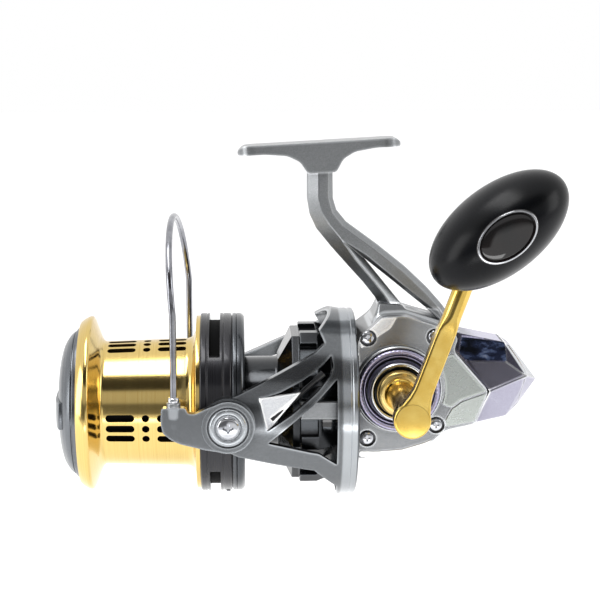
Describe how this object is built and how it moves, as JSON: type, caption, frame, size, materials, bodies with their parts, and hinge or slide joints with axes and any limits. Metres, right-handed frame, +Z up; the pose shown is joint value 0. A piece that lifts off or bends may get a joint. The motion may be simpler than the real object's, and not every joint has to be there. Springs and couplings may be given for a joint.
{
  "type": "spinning reel",
  "caption": "Large surfcasting spinning reel: foot and stem, gearbox, geared rotor with folding bail, stroking spool with front drag, crank handle with oval knob.",
  "frame": {"origin": "middle of the foot's seat, where the foot lies against the rod", "axes": "+X rearward along the spool axis, +Z up to the rod, -Y towards the crank handle"},
  "size_m": [0.2227, 0.1824, 0.1677],
  "materials": {
    "grey_paint": "satin metallic paint",
    "dark_paint": "satin metallic paint",
    "silver_paint": "satin metallic paint",
    "cap_paint": "satin metallic paint",
    "gold": "gold anodised, polished",
    "graphite": "carbon-filled nylon",
    "inlay": "glossy marbled",
    "chrome": "polished",
    "steel": "ground",
    "brass": "machined",
    "soft_black": "soft-touch",
    "black_plastic": "moulded",
    "gloss_black": "polished"
  },
  "bodies": {
    "body": {"body_frame": "grey_paint", "side_cover": "grey_paint", "side_cover_screws": "chrome", "rear_cover": "silver_paint", "rear_cover_inlays": "inlay", "rear_cover_screws": "chrome", "trim_ring": "chrome", "hub_collar": "chrome", "crank_bearings": "steel", "far_side_cap": "cap_paint", "pinion_bearings": "steel", "one_way_clutch": "steel", "guide_rod": "steel"},
    "anti_reverse": {"anti_reverse_lever": "black_plastic"},
    "rotor": {"rotor": "dark_paint", "pinion": "brass", "rotor_nut": "steel", "bail_pivot_screws": "chrome", "bail_pivot_washers": "steel", "bail_spring": "steel", "balance_weight": "brass"},
    "trip": {"trip_rod": "black_plastic"},
    "bail": {"bail_arm": "grey_paint", "bail_cam": "grey_paint", "bail_wire": "chrome", "wire_collars": "chrome", "roller_screw": "chrome", "roller_bearing": "steel"},
    "line_roller": {"line_roller": "chrome"},
    "main_shaft": {"main_shaft": "chrome", "slider_block": "brass", "slider_screw": "steel", "spool_washer": "steel", "drag_plates": "steel"},
    "worm": {"worm_shaft": "steel", "worm_gear": "brass"},
    "spool": {"spool_lip": "gold", "spool_drum": "gold", "spool_flange": "gold", "spool_hub": "gold", "spool_skirt": "graphite", "skirt_ring": "dark_paint", "line_clip": "chrome", "spool_bearings": "steel", "drag_discs": "graphite", "drag_retainer": "steel"},
    "drag_knob": {"drag_knob": "cap_paint", "drag_nut": "brass", "drag_spring": "steel", "drag_seal": "soft_black"},
    "crank": {"drive_gear": "brass", "drive_shaft": "steel", "handle_flange": "gold", "handle_shank": "gold", "handle_arm": "gold", "knob_shaft": "chrome", "knob_screw": "steel"},
    "handle_knob": {"knob_body": "soft_black", "knob_cap": "gloss_black", "knob_bearings": "steel"}
  },
  "joints": [
    {"name": "handle_crank", "type": "hinge", "parent": "body", "child": "crank", "pos_m": [0.0355, -0.03, -0.1114], "axis": [0, -1, 0], "continuous": true},
    {"name": "rotor_spin", "type": "hinge", "parent": "body", "child": "rotor", "pos_m": [0, 0, -0.1218], "axis": [1, 0, 0], "continuous": true},
    {"name": "worm_spin", "type": "hinge", "parent": "body", "child": "worm", "pos_m": [0.04, 0.0124, -0.1206], "axis": [1, 0, 0], "continuous": true},
    {"name": "bail_open", "type": "hinge", "parent": "rotor", "child": "bail", "pos_m": [-0.0421, 0, -0.1218], "axis": [0, -1, 0], "range_deg": [0, 110]},
    {"name": "trip_slide", "type": "slide", "parent": "rotor", "child": "trip", "axis": [0.753, 0.1641, 0.6372], "range_m": [0, 0.003]},
    {"name": "line_roller_spin", "type": "hinge", "parent": "bail", "child": "line_roller", "pos_m": [-0.066, -0.0454, -0.1212], "axis": [0, 1, 0], "continuous": true},
    {"name": "spool_stroke", "type": "slide", "parent": "body", "child": "main_shaft", "axis": [1, 0, 0], "range_m": [0, 0.034]},
    {"name": "spool_spin", "type": "hinge", "parent": "main_shaft", "child": "spool", "pos_m": [-0.08, 0, -0.1218], "axis": [1, 0, 0], "continuous": true},
    {"name": "drag_adjust", "type": "hinge", "parent": "main_shaft", "child": "drag_knob", "pos_m": [-0.11, 0, -0.1218], "axis": [1, 0, 0], "range_deg": [0, 900]},
    {"name": "knob_spin", "type": "hinge", "parent": "crank", "child": "handle_knob", "pos_m": [0.06631, -0.1, -0.02812], "axis": [0, -1, 0], "continuous": true},
    {"name": "anti_reverse_switch", "type": "slide", "parent": "body", "child": "anti_reverse", "axis": [0, 1, 0], "range_m": [0, 0.006]}
  ],
  "couplings": [
    {"joint": "rotor_spin", "follows": "handle_crank", "ratio": 4.0833},
    {"joint": "worm_spin", "follows": "handle_crank", "ratio": -2.8824},
    {"joint": "trip_slide", "follows": "bail_open", "m_per_rad": 0.0015626}
  ]
}
